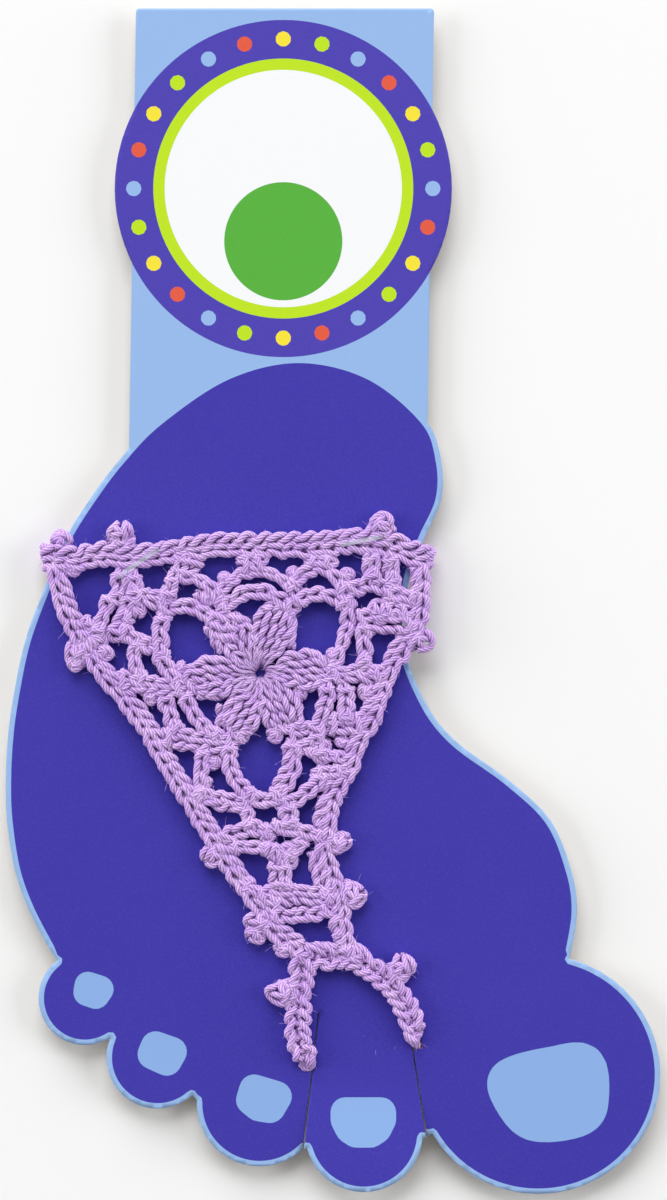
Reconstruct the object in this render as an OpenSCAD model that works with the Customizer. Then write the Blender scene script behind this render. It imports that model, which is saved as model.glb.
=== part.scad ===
// Crocheted barefoot sandal fastened round a foot-shaped display card.
// The card lies level, toes towards -Y and header towards +Y. The lace lies on its front, the
// ankle strap closes behind the card, and the toe loop goes through two slots beside the tongue
// that is cut in the second toe.

/* [Card] */
// Length of the foot shape, from the heel to the tip of the big toe
foot_l = 184; // [165:1:205]
// Width of the foot shape across the toes
foot_w = 144; // [134:1:156]
// Thickness of the board
board_t = 0.8; // [0.5:0.1:1.4]
// Height of the header strip above the heel
header_h = 76.8; // [60:0.2:100]
// Width of the header strip
header_w = 65.6; // [56:0.2:70]
// Diameter of the round badge on the header
badge_d = 74.2; // [66:0.2:80]
// Bare board between the badge and the top of the header
badge_inset = 2.5; // [1:0.1:6]
// Width of the two slits beside the tongue
slit_w = 0.3; // [0.2:0.05:0.6]
// How far the tip of the tongue stands in front of the card
tongue_lift = 1.6; // [0:0.1:3]

/* [Lace] */
// Distance from the heel down to the middle of the ankle strap
strap_down = 43.9; // [40:0.1:48]
// Length of the lace, from the ankle strap to the slots of the toe loop
lace_l = 110.4; // [104:0.2:116]
// Thickness of the crocheted lace
lace_t = 2.4; // [1.8:0.1:3]
// Width that one strand of yarn takes in the lace
yarn_w = 1.45; // [1.3:0.05:1.6]
// Width of the worked edges down both sides
edge_w = 4.8; // [4.2:0.1:5.4]
// Size of the picots, across
picot_w = 6.4; // [5.4:0.1:7.4]
// Radius of the closed middle of the flower
flower_r = 10.4; // [9.6:0.1:11]
// Half the width of one petal
petal_r = 4.3; // [3.9:0.1:4.6]
// Radius of the eye in the middle of the flower
eye_r = 1.1; // [0.8:0.1:1.6]

/* [Ankle strap] */
// Width of the strap behind the card
strap_w = 6; // [5:0.1:7]
// Width of the strap's front stretch, the top edge of the lace
rail_w = 4.9; // [4.4:0.1:5.6]
// Thickness of the strap
strap_t = 2.4; // [1.8:0.1:3]
// Room between the back of the card and the strap, for the heads of the ties
back_slack = 0.9; // [0.8:0.1:1.5]

/* [Toe loop] */
// Width of the toe loop's band
toe_w = 5.2; // [4.4:0.1:5.8]
// Thickness of the toe loop's band
toe_t = 2; // [1.6:0.1:2.4]

/* [Ties] */
// Width of the clear ties that pin the strap to the card
tie_d = 1; // [0.8:0.1:1.3]
// Diameter of the ties' heads behind the card
head_d = 3.2; // [2.6:0.1:4]
// Thickness of those heads
head_t = 0.5; // [0.3:0.05:0.6]

/* [Hidden] */
$fn = 32;

// Clearance between pieces that lie on or pass through each other
clear = 0.2;
// Gap that stands for the join between two crocheted pieces
join = 0.15;
// Radius that fills the sharp corners of the gaps in the lace
corner = yarn_w * 0.28;
// How far the root of the tongue reaches into the rest of the board
lap = 1;
yarn_violet = [0.76, 0.6, 0.85];
board_blue = [0.27, 0.21, 0.64];

// Levels, from the floor up
card_z = strap_t + back_slack;
lace_z = card_z + board_t + clear;
lace_top = lace_z + lace_t;

// The foot's outline. Columns: share of foot_l down from the heel, then the left and the right
// edge as shares of foot_w.
foot_rows = [
    [0.02, 0.338, 0.556], [0.074, 0.234, 0.641], [0.122, 0.174, 0.665], [0.17, 0.128, 0.665],
    [0.218, 0.09, 0.638], [0.266, 0.064, 0.616], [0.338, 0.03, 0.607], [0.409, 0.011, 0.639],
    [0.457, 0.003, 0.685], [0.505, 0, 0.768], [0.553, 0.002, 0.832], [0.613, 0.014, 0.864],
    [0.661, 0.036, 0.873], [0.709, 0.068, 0.864]];
// Top of the heel, as a share of foot_w
heel_x = 0.448;
// Toes from the little toe on. Columns: middle across and down, half width as a share of foot_w,
// half height as a share of foot_l, then the notch after the toe, across and down.
toes = [
    [0.121, 0.766, 0.071, 0.056, 0.161, 0.813],
    [0.232, 0.837, 0.078, 0.061, 0.295, 0.89],
    [0.388, 0.892, 0.096, 0.075, 0.456, 0.944],
    [0.547, 0.925, 0.09, 0.071, 0.642, 0.932],
    [0.8135, 0.857, 0.1865, 0.143, 0.864, 0.709]];
// Left end of the header's top edge, from the foot's left side
header_x = foot_w * 0.199;
// How far the header leans to the left from its top to the heel
header_lean = header_h * 0.02;
// Depth to which the header strip reaches past the top of the heel
header_tail = foot_l * 0.11;

// Middle of the whole outline, which becomes the origin
mid_x = foot_w / 2;
mid_y = (header_h - foot_l) / 2;

function at(x, y) = [x * foot_w, -y * foot_l];
function mix(a, b, t) = a + (b - a) * t;
function unit(v) = v / norm(v);
function left_of(v) = [-v.y, v.x];
// A point between b and c on the smooth curve through a, b, c and d
function bend(a, b, c, d, t) = b + (c - a) * t / 2 + (2 * a - 5 * b + 4 * c - d) * t * t / 2
    + (3 * b - a - 3 * c + d) * t * t * t / 2;
// A smooth curve through the points, with n steps from one to the next
function curve(p, n) = [
    for (i = [0 : len(p) - 2], k = [0 : n - 1])
        bend(p[max(i - 1, 0)], p[i], p[i + 1], p[min(i + 2, len(p) - 1)], k / n),
    p[len(p) - 1]];
function reversed(p) = [for (i = [len(p) - 1 : -1 : 0]) p[i]];
// Where a side of the foot lies, column 1 left or 2 right, at a depth below the heel
function side_x(column, depth, i = 0) =
    i > len(foot_rows) - 3 || foot_rows[i + 1][0] * foot_l > depth
    ? foot_w * mix(foot_rows[i][column], foot_rows[i + 1][column],
        (depth / foot_l - foot_rows[i][0]) / (foot_rows[i + 1][0] - foot_rows[i][0]))
    : side_x(column, depth, i + 1);

// The strap bends round the card's edges, clear of the board's upper corner where the board is
// widest under the strap
bend_r = (back_slack + board_t + clear) / 2;
corner_room = sqrt(bend_r * bend_r - (bend_r - clear) * (bend_r - clear)) - clear;
bend_left = side_x(1, strap_down + strap_w / 2) + corner_room;
bend_right = side_x(2, strap_down - strap_w / 2) - corner_room;

// The crochet chart. One square is a millimetre at the real size. Its zero is the flower's eye.
squares_across = 80.8;
squares_down = 110.4;
chart_left = -45.8;
chart_strap = 25.2;
chart_end = chart_strap - squares_down;
square = [(bend_right - bend_left) / squares_across, lace_l / squares_down];
eye = [bend_left - chart_left * square.x, -strap_down - chart_strap * square.y];
function sq(x, y) = eye + [x * square.x, y * square.y];

// Top edge of the lace between its two bends, in squares
rail_pts = [[-35, 25.9], [-28, 25.4], [-18, 26.6], [-9, 27.9], [0, 27.9], [12, 28], [21, 28.8],
    [28, 28.1]];
// Side edges from the ankle strap to the toe loop, in squares
left_pts = [[-44.6, 21], [-42.8, 15], [-39.6, 8.5], [-34.9, 0], [-30, -6], [-24.4, -13.5],
    [-20.3, -20.5], [-14.4, -30], [-9.4, -38], [-4.6, -45.5], [-0.4, -51], [3, -56.5], [8.4, -60.4]];
right_pts = [[35.3, 23], [35.2, 16], [34.4, 10], [30.4, 5], [26.9, -2.5], [24.4, -9], [20.6, -15.5],
    [18.6, -21], [15.7, -26.5], [14.4, -33.5], [13.2, -39], [15, -45], [17.3, -52], [18.2, -60]];
// Petals of the flower. Columns: direction in degrees, reach from the eye in squares.
petals = [[75, 16.6], [126, 15.8], [186, 17.6], [246, 16], [296.5, 15.4], [2, 16.4]];
// The net between the edges and the flower. Columns: start x and y, end x and y in squares, rise
// of the arch as a share of its span, to the left of its run, and its width in strands.
net = [
    [-31.3, 22.5, -32.6, 16, 0.03, 2.5], [-32.6, 16.5, -36, 8.5, -0.08, 2.4],
    [-27.9, 22, -28, 16.5, -0.02, 2.6], [-28, 17, -32, 8, -0.04, 2.5],
    [-28, 16.3, -20.5, 15.6, 0, 3.1], [-20.6, 15.5, -19.2, 21, 0.04, 1.9],
    [-18, 21, -15, 24.6, 0, 3.6], [-19, 20.8, -9, 15.2, 0.18, 2],
    [-22.5, 13, -10.5, 11, 0.2, 2.4], [-21.5, 13, -21.8, 3, -0.05, 2.5],
    [-21.8, 4, -18.2, -2, -0.1, 2.4], [-31, 10, -22, 5.8, -0.13, 2.5],
    [-27.2, 7, -25.8, -2, -0.13, 2.1], [-32, -1.4, -17.5, -3.6, -0.03, 3.1],
    [-21, -4.5, -18.2, -13, -0.08, 2.5], [-16.7, -4.5, -9.5, -14, -0.13, 2.2],
    [-21.5, -14, -6.5, -15.8, -0.02, 3.4], [-12.4, -16.5, -13.4, -27.5, -0.02, 2.5],
    [-6.6, -15.5, -2, -27.5, -0.16, 2.5], [-3, -27.4, 4, -27.4, -0.1, 2.4],
    [7, -15, 3.2, -27.3, 0.1, 2.9], [14, -22.3, 4.5, -28.9, 0.1, 2.3],
    [-14.5, -26.6, -2.8, -29, -0.05, 2.9], [-3.6, -29, -2.4, -34.5, 0, 2.1],
    [5.6, -28.5, 6.2, -34, 0, 2.8], [-8.5, -36.4, 1.8, -34.6, 0.13, 2.3],
    [-7, -38.2, 2.2, -39, 0.03, 2.2], [1.2, -33.8, 0.8, -39, 0, 1.9],
    [2.4, -34.3, 13, -36, 0.05, 2.1], [9.6, -36.4, 3.6, -40.8, 0.1, 3],
    [1.6, -38.6, 6.2, -41.6, 0, 2.8], [4.2, -41.5, 4.6, -47.5, 0, 3.3],
    [-1, -48.9, 15.5, -49.2, 0.02, 3.1], [1.8, -53, 15, -51.6, -0.06, 2.8],
    [-9.8, 16.4, 7.3, 17.6, 0.31, 1.9], [-9.5, 13.7, 7, 14.4, 0.25, 1.9],
    [-4.6, 23.6, 0.4, 23.9, 0, 3.1], [6.5, 18, 18.3, 17, 0.42, 2.3],
    [9.8, 24.6, 15.3, 24.4, 0, 2.1], [7, 14.8, 18.5, 13.8, 0.2, 2.6],
    [18.6, 17, 15.2, 0.5, 0.1, 2.1], [24.2, 26.4, 24.2, 20, 0, 2.9],
    [28.4, 26, 28.4, 19, 0, 2.9], [18.8, 17.4, 29, 17.5, 0.18, 2.5],
    [26.6, 16.6, 33.6, 16, 0.06, 2.6], [21, 11.2, 33, 11, 0.02, 3.7],
    [26.5, 13.6, 32, 13.4, 0, 2.6], [22.1, 11, 22.5, 1.5, 0.03, 2.6],
    [15.4, -1.1, 26.4, -0.6, 0.03, 3], [14.2, -2.4, 11.6, -13, 0.08, 2.4],
    [18, -2.6, 18.6, -11, 0.03, 2.5], [14.8, -11.8, 22.2, -11.4, 0.03, 3.6],
    [5.6, -14, 14, -13.4, 0, 3.6], [6.6, -16.6, 14, -16.4, 0, 2.5],
    [11.6, -13, 13.2, -18.6, 0, 2.3], [9.8, -17.4, 17.6, -18.6, -0.02, 1.4],
    [11.6, -22, 18, -21.9, 0, 2.5]];
// Picots on the edges. Columns: middle x and y in squares, direction of the outer end in degrees.
picots_left = [[-40.4, 4.4, 205], [-10.9, -40.6, 200], [-0.6, -54.6, 200]];
picots_right = [[35.2, 6.2, -40], [16.6, -37.7, -10], [19.8, -49.4, -10]];
picots_rail = [[-31.2, 30.2, 92], [26.2, 32, 88]];
picots_toe = [[4.4, -70.2, 185], [30, -65.2, 50]];
// Picots on the part of the strap that is behind the card, as shares of its length
picots_back = [0.015, 0.34, 0.66, 0.985];

// The slits run from the tongue's root, in squares, to the notches on both sides of its toe
root_y = -75;
slit_left = [sq(12.8, root_y), at(toes[2][4], toes[2][5])];
slit_right = [sq(31.9, root_y), at(toes[3][4], toes[3][5])];
// Middles of the slots for the toe loop. The right one is nearer the root, in squares.
right_slot_rise = 4.8;
slot_left = slot_at(slit_left, chart_end, -1);
slot_right = slot_at(slit_right, chart_end + right_slot_rise, 1);
// Arms of the toe loop, in squares, from its crossbar to near the slots
arm_left = [[9.2, -62.6], [8.8, -68], [8, -73], [7.8, -79], [8.8, -83]];
arm_right = [[20, -62.6], [24.8, -65.8], [29, -70], [32, -75]];
crossbar = [[8.6, -62.6], [14.5, -63], [20.4, -62.4]];
// Ends of the two clear ties, in squares
tie_ends_left = [[-31.2, 20.9], [-22.8, 26.8]];
tie_ends_right = [[17.8, 27.9], [26.2, 29.6]];

// Point of a slit's line at a height y
function along(slit, y) =
    mix(slit[0], slit[1], (y - slit[0].y) / (slit[1].y - slit[0].y));
// Middle of a slot beside a slit, at row y of the chart, outwards by the loop's half thickness
function slot_at(slit, y, side) =
    along(slit, sq(0, y).y) + left_of(unit(slit[1] - slit[0])) * side * (toe_t / 2 + clear);

// A band of even width along the points, with round ends
module band(p, w) {
    n = len(p) - 1;
    across = [for (i = [0 : n]) left_of(unit(p[min(i + 1, n)] - p[max(i - 1, 0)])) * w / 2];
    polygon(concat([for (i = [0 : n]) p[i] + across[i]],
        [for (i = [n : -1 : 0]) p[i] - across[i]]));
    for (end = [p[0], p[n]])
        translate(end) circle(d = w, $fn = w > picot_w * 0.7 ? 20 : 14);
}

module chart_band(points, w, steps = 3) {
    band([for (p = curve(points, steps)) sq(p.x, p.y)], w);
}

// One arch of the net
module arch(row, steps = 4) {
    a = [row[0], row[1]];
    b = [row[2], row[3]];
    band([for (k = [0 : steps]) let (t = k / steps,
            p = mix(a, b, t) + left_of(b - a) * row[4] * 4 * t * (1 - t)) sq(p.x, p.y)],
        row[5] * yarn_w);
}

// A small knob of chain stitches, wider than it is high
module knob(middle, turn) {
    reach = picot_w * 0.14 * [-sin(turn), cos(turn)];
    band([middle - reach, middle + reach], picot_w * 0.72);
}

module picot(row) {
    knob(sq(row[0], row[1]), row[2]);
}

module drill_ties() {
    for (p = concat(tie_ends_left, tie_ends_right))
        translate(sq(p.x, p.y)) circle(d = tie_d + 2 * clear, $fn = 16);
}

module flower_plan() {
    translate(eye) circle(r = flower_r, $fn = 40);
    for (p = petals) {
        tip = sq(p[1] * cos(p[0]), p[1] * sin(p[0]));
        band([eye, tip - unit(tip - eye) * petal_r], 2 * petal_r);
    }
}

module left_plan() {
    chart_band(left_pts, edge_w);
    for (p = picots_left) picot(p);
}

module right_plan() {
    chart_band(right_pts, edge_w);
    for (p = picots_right) picot(p);
}

module rail_plan() {
    ends = [[bend_left, -strap_down], [bend_right, -strap_down]];
    inner = [for (p = rail_pts) sq(p.x, p.y)];
    band(curve(concat([ends[0]], inner, [ends[1]]), 2), rail_w);
    for (p = picots_rail) picot(p);
}

// The flat ends of the strap's front stretch, as wide as the strap behind
module strap_end_plan() {
    for (x = [bend_left, bend_right - rail_w / 2])
        translate([x, -strap_down - strap_w / 2]) square([rail_w / 2, strap_w]);
}

// What the edges and the net stop short of: the front of the strap and of the toe loop
module bound_plan() {
    offset(delta = join) {
        rail_plan();
        strap_end_plan();
        for (x = [bend_left - bend_r - strap_t, bend_right])
            translate([x, -strap_down - strap_w / 2]) square([bend_r + strap_t, strap_w]);
        loop_front_plan();
    }
}

module loop_front_plan() {
    chart_band(crossbar, edge_w * 0.85);
    band(curve(concat([for (p = arm_left) sq(p.x, p.y)], [slot_left]), 3), toe_w);
    band(curve(concat([for (p = arm_right) sq(p.x, p.y)], [slot_right]), 3), toe_w);
    for (p = picots_toe) picot(p);
}

// The plan of a piece of lace with its sharp corners filled
module soften() {
    offset(r = -corner, $fn = 16) offset(r = corner, $fn = 16) children();
}

module header_plan() {
    right_x = header_x + header_w;
    offset(r = board_t, $fn = 16) offset(delta = -board_t)
        polygon([[header_x, header_h], [right_x, header_h], [right_x - header_lean, -header_tail],
            [header_x - header_lean, -header_tail]]);
}

module foot_plan() {
    left = [for (r = foot_rows) at(r[1], r[0])];
    right = [for (r = foot_rows) at(r[2], r[0])];
    sides = curve(concat(reversed(right), [at(heel_x, 0)], left), 4);
    notches = [for (i = [0 : len(toes) - 2]) at(toes[i][4], toes[i][5])];
    middles = [for (t = toes) at(t[0], t[1])];
    weave = [for (i = [0 : len(toes) - 2]) each [middles[i], notches[i]], middles[len(toes) - 1]];
    polygon(concat(sides, weave));
    for (t = toes)
        translate(at(t[0], t[1])) scale([t[2] * foot_w, t[3] * foot_l]) circle(r = 1, $fn = 48);
}

module card_plan() {
    offset(r = -clear, $fn = 12) offset(r = clear, $fn = 12) {
        foot_plan();
        header_plan();
        translate([header_x + header_w / 2 - header_lean / 4,
            header_h - badge_inset - badge_d / 2]) circle(d = badge_d, $fn = 90);
    }
}

// The stretch of board between the two slits, from the tongue's root down past the toe's tip
module tongue_zone(gap) {
    side = [gap, 0];
    polygon([slit_left[0] - side, slit_right[0] + side, along(slit_right, -foot_l) + side,
        along(slit_left, -foot_l) - side]);
}

// A slot for the toe loop, beside one slit and slanted with it
module slot_plan(middle, slit, wide, long) {
    run = slit[1] - slit[0];
    translate(middle) rotate(atan2(run.y, run.x) + 90)
        square([wide, long], center = true);
}

module slots(wide, long) {
    slot_plan(slot_left, slit_left, wide, long);
    slot_plan(slot_right, slit_right, wide, long);
}

module place() {
    translate([-mid_x, -mid_y, 0]) children();
}

// The tongue's side view: level from its root past the slots, then a slow rise to its tip
module tongue_side() {
    flat_y = slot_left.y - toe_w / 2;
    under = [for (s = [0 : 0.125 : 1]) [mix(flat_y, -foot_l, s), tongue_lift * s * s * (3 - 2 * s)]];
    over = [for (p = reversed(under)) p + [0, board_t]];
    root = slit_left[0].y + 2 * lap;
    polygon(concat(under, over, [[root, board_t], [root, 0]]));
}

module card() {
    root = slit_left[0] - [0, lap];
    color(board_blue) place() translate([0, 0, card_z]) {
        linear_extrude(board_t) difference() {
            card_plan();
            tongue_zone(slit_w);
            slots(toe_t + 2 * clear, toe_w + 2 * clear);
            drill_ties();
        }
        intersection() {
            linear_extrude(board_t + tongue_lift) intersection() {
                card_plan();
                union() {
                    tongue_zone(0);
                    translate(root) square([slit_right[0].x - root.x, 2 * lap]);
                }
            }
            rotate([90, 0, 90]) linear_extrude(foot_w) tongue_side();
        }
    }
}

module flower_motif() {
    color(yarn_violet) place() translate([0, 0, lace_z]) linear_extrude(lace_t + clear)
        difference() {
            soften() flower_plan();
            translate(eye) circle(r = eye_r, $fn = 20);
        }
}

module edging_left() {
    color(yarn_violet) place() translate([0, 0, lace_z]) linear_extrude(lace_t) difference() {
        soften() left_plan();
        bound_plan();
    }
}

module edging_right() {
    color(yarn_violet) place() translate([0, 0, lace_z]) linear_extrude(lace_t) difference() {
        soften() right_plan();
        bound_plan();
    }
}

module lace_net() {
    color(yarn_violet) place() translate([0, 0, lace_z]) linear_extrude(lace_t) difference() {
        soften() for (row = net) arch(row);
        bound_plan();
        offset(delta = join) {
            left_plan();
            right_plan();
            flower_plan();
        }
        drill_ties();
    }
}

// Half a turn of the strap round an edge of the card
module strap_bend(x, turn) {
    translate([x, -strap_down + strap_w / 2, strap_t + bend_r]) rotate([90, 0, 0]) rotate([0, 0, turn])
        rotate_extrude(angle = 180, $fn = 48) translate([bend_r, 0]) square([strap_t, strap_w]);
}

module ankle_strap() {
    back_l = bend_right - bend_left;
    color(yarn_violet) place() {
        translate([bend_left, -strap_down - strap_w / 2, 0]) cube([back_l, strap_w, strap_t]);
        strap_bend(bend_left, 90);
        strap_bend(bend_right, -90);
        translate([0, 0, lace_z]) linear_extrude(strap_t) {
            strap_end_plan();
            difference() {
                soften() rail_plan();
                drill_ties();
            }
        }
        linear_extrude(strap_t) for (s = picots_back)
            knob([bend_left + s * back_l, -strap_down + strap_w / 2 + picot_w * 0.2], 90);
    }
}

module toe_loop() {
    color(yarn_violet) place() {
        translate([0, 0, lace_z]) linear_extrude(toe_t) difference() {
            soften() loop_front_plan();
            tongue_zone(slit_w);
        }
        linear_extrude(lace_z + toe_t) slots(toe_t, toe_w);
        linear_extrude(toe_t) hull() slots(toe_t, toe_w);
    }
}

// A clear flat thread over the strap, its ends down through the card to round heads
module tie(ends) {
    a = sq(ends[0].x, ends[0].y);
    b = sq(ends[1].x, ends[1].y);
    foot = card_z - clear - head_t;
    color([0.9, 0.93, 0.9, 0.5]) place() {
        translate([0, 0, lace_top + clear]) linear_extrude(tie_d * 0.6) band([a, b], tie_d);
        for (p = [a, b])
            translate([p.x, p.y, foot]) {
                cylinder(d = head_d, h = head_t);
                cylinder(d = tie_d * 0.8, h = lace_top + clear * 2 - foot);
            }
    }
}

module tie_left() {
    tie(tie_ends_left);
}

module tie_right() {
    tie(tie_ends_right);
}

card();
flower_motif();
lace_net();
edging_left();
edging_right();
ankle_strap();
toe_loop();
tie_left();
tie_right();
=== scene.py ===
"""Looks of the crocheted barefoot sandal on its foot-shaped display card."""

import math

import bmesh
import bpy
import numpy as np
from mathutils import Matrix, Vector, geometry, kdtree
from mathutils.bvhtree import BVHTree


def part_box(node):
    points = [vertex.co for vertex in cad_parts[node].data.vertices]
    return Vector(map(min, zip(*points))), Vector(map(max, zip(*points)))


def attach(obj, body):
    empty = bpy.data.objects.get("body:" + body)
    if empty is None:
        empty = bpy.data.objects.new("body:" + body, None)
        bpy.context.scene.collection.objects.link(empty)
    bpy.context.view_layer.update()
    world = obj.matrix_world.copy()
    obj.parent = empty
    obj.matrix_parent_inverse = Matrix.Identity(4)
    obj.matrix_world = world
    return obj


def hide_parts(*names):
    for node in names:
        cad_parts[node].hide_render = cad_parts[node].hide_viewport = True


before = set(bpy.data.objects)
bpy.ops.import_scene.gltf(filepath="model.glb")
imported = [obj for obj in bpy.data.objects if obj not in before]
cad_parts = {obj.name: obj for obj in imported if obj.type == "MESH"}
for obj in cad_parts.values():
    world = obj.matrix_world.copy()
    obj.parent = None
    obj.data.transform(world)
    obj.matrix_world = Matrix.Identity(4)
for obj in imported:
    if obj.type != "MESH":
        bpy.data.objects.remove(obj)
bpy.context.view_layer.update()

MM = 0.001

# Sizes in millimetres, the same as in the part's source
FOOT_L = 184.0
FOOT_W = 144.0
HEADER_H = 76.8
HEADER_W = 65.6
HEADER_X = FOOT_W * 0.199
BADGE_D = 74.2
BADGE_INSET = 2.5
BOARD_T = 0.8
STRAP_W = 6.0
# The strap's front stretch: its left end and height in the chart, and its length
CHART_LEFT = -45.8
CHART_STRAP = 25.2
BEND_SPAN = 80.8
# How far the strap reaches past the middle of its left bend
BEND_OUT = 3.35

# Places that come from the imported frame
card_low, card_high = [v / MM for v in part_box("card")]
strap_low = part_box("ankle_strap")[0] / MM
BOARD_TOP = card_low.z + BOARD_T
# The middle of the flower
EYE = np.array([strap_low.x + BEND_OUT - CHART_LEFT, strap_low.y + STRAP_W / 2 - CHART_STRAP])
FOOT_LEFT = card_low.x
HEEL_Y = card_high.y - HEADER_H

# The yarn: a strand's radius, its plies and the depth of their grooves
YARN_R = 0.72
PLIES = 6
PLY_DEPTH = 0.085
# Points round a strand, spacing of its rings, and length in which its plies turn once
SIDES = 16
RING_STEP = 0.5
PLY_TURN = 6.2
# How far from a strand its neighbours paint shade onto it, and the share of that where it is free
# of that painted shade
NEAR = 0.55
FREE = 0.85
# Spacing of the chain stitches along a row
PITCH = 2.95
# Height of the stitches against their width
Z_SQUEEZE = 0.7
# How far a chain stitch reaches down from its middle, in yarn diameters
CHAIN_DOWN = 0.85
OFF_BOARD = 0.1
# Height of the middle of the stitches
MID_Z = BOARD_TOP + OFF_BOARD + YARN_R * (2 * CHAIN_DOWN * Z_SQUEEZE + 1)
# Random shifts are smaller upwards than across
LESS_UP = [1, 1, 0.5]

rng = np.random.default_rng(7)


def any_phase():
    """A random place on a wave."""
    return rng.uniform(0, 6)


# Slow waves that make the work uneven. Columns: direction, phase and push
DISORDER = [(rng.normal(0, 0.9, 2), any_phase(), rng.normal(0, 0.11, 3) * LESS_UP)
            for _ in range(9)]


def chart(points):
    """Chart squares to millimetres in the frame."""
    return np.asarray(points, float) + EYE


def foot_at(x, y):
    """Shares of the foot's width and length to millimetres in the frame."""
    return np.array([FOOT_LEFT + x * FOOT_W, HEEL_Y - y * FOOT_L])


def catmull(points, n=6, closed=False):
    """A smooth curve through the points, with n steps from one to the next."""
    p = np.asarray(points, float)
    before, after = ([-1], [0, 1]) if closed else ([0], [-1])
    q = np.concatenate([p[before], p, p[after]])
    t = np.linspace(0, 1, n, endpoint=False)[:, None]
    out = [
        b + (c - a) * t / 2 + (2 * a - 5 * b + 4 * c - d) * t**2 / 2
        + (3 * b - a - 3 * c + d) * t**3 / 2
        for a, b, c, d in zip(q, q[1:], q[2:], q[3:])
    ]
    if not closed:
        out.append(p[-1:])
    return np.concatenate(out)


def arc(points):
    """How far along a line each of its points is."""
    return np.concatenate([[0], np.cumsum(np.linalg.norm(np.diff(points, axis=0), axis=1))])


def between(x, known_x, rows):
    """The rows at x, read between those that are known."""
    columns = np.asarray(rows, float).T
    return np.stack([np.interp(x, known_x, column) for column in columns], axis=-1)


def resample(points, step):
    """The same line with evenly spaced points."""
    s = arc(points)
    n = max(int(round(s[-1] / step)), 2)
    return between(np.linspace(0, s[-1], n + 1), s, points)


def unit(v):
    """The same directions with length 1."""
    return v / np.maximum(np.linalg.norm(v, axis=-1, keepdims=True), 1e-9)


def heading(angle):
    """The direction at an angle in the plane of the card."""
    return np.array([math.cos(angle), math.sin(angle)])


def left_of(v):
    """A direction in the plane turned a quarter to the left."""
    return np.array([-v[1], v[0]])


class Guide:
    """A line in space with the direction that its front faces, both by arc length."""

    STEP = 0.25

    def __init__(self, points, normals=((0, 0, 1),)):
        self.p = resample(points, self.STEP)
        self.s = arc(self.p)
        self.length = self.s[-1]
        self.t = unit(np.gradient(self.p, axis=0))
        k = np.linspace(0, len(normals) - 1, len(self.p))
        n = between(k, np.arange(len(normals)), normals)
        self.n = unit(n - self.t * np.sum(n * self.t, axis=1, keepdims=True))
        self.b = np.cross(self.n, self.t)

    def place(self, along, side, lift):
        """Points at a distance along the line, to its left and out of its front."""
        k = np.clip(along, 0, self.length)
        p, t, b, n = [between(k, self.s, a) for a in (self.p, self.t, self.b, self.n)]
        over, side, lift = [np.reshape(v, (-1, 1)) for v in (along - k, side, lift)]
        return p + over * t + side * b + lift * n

    def stations(self, step=0.6):
        """Distances along the line, a step apart."""
        return np.linspace(0, self.length, max(int(round(self.length / step)), 4) + 1)


def flat_guide(points, z=MID_Z, n=6):
    """A smooth level guide through places in the chart."""
    xy = catmull(chart(points), n)
    return Guide(np.column_stack([xy, np.full(len(xy), z)]))


# One chain stitch, in yarn diameters. Columns: along from the stitch's start, to the side, out
# of the front, and 1 where the row moves on by one pitch
CHAIN = [
    (-0.1, 0.22, -0.45, 0), (0.5, 0.4, 0.32, 0), (1.35, 0.72, 0.38, 0), (0.25, 0.78, 0.1, 1),
    (0.78, 0, -0.2, 1), (0.25, -0.78, 0.1, 1), (1.35, -0.72, 0.38, 0), (0.5, -0.4, 0.32, 0),
    (-0.1, -0.22, -0.45, 0), (0.95, 0, -CHAIN_DOWN, 0),
]
# The pitch that this stitch is drawn for, and its width in yarn diameters
CHAIN_PITCH = 2.9
CHAIN_ACROSS = 1.56
# How far handwork strays
LOOSE = 0.08
LEAST_REACH = 0.2


def chain(guide, width, offset=0.0, lift=0.0, radius=YARN_R, pitch=PITCH):
    """The yarn of a row of chain stitches along a guide."""
    count = max(int(round(guide.length / pitch)), 1)
    pitch = guide.length / count
    d = 2 * radius
    spread = max((width / d - 1) / CHAIN_ACROSS, LEAST_REACH)
    rows = np.array([
        (i * pitch + along * d * pitch / CHAIN_PITCH + later * pitch,
         offset + side * d * spread, lift + height * d * Z_SQUEEZE)
        for i in range(count) for along, side, height, later in CHAIN
    ])
    rows += rng.normal(0, LOOSE, rows.shape) * LESS_UP
    return guide.place(*rows.T), radius


# A rope's height against its width, and the third strand under its other two
ROPE_SQUEEZE = 0.72
CORE_DOWN = 0.6
CORE_R = 0.9


def rope(guide, width, offset=0.0, lift=0.0, radius=YARN_R, turn=6.2, hand=1):
    """Two strands that twist round each other along a guide, over a third that fills them."""
    along = guide.stations()
    count = len(along)
    phase = along / turn * 2 * math.pi * hand + any_phase()
    reach = max(width / 2 - radius, LEAST_REACH)
    strands = []
    for k in (0, math.pi):
        side = offset + reach * np.cos(phase + k) + rng.normal(0, LOOSE, count)
        rise = radius * ROPE_SQUEEZE * np.sin(phase + k)
        height = lift + rise + rng.normal(0, LOOSE / 2, count)
        strands.append((guide.place(along, side, height), radius))
    core = guide.place(along, offset + rng.uniform(-0.1, 0.1), lift - CORE_DOWN)
    strands.append((core, radius * CORE_R))
    return strands


# A turn of yarn round a band: its radius, how high it stands and how far it leads on
WRAP_R = YARN_R * 0.94
WRAP_RISE = 0.62
WRAP_UP = 0.05
WRAP_LEAD = 0.25
WRAP_IN = 0.2


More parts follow.
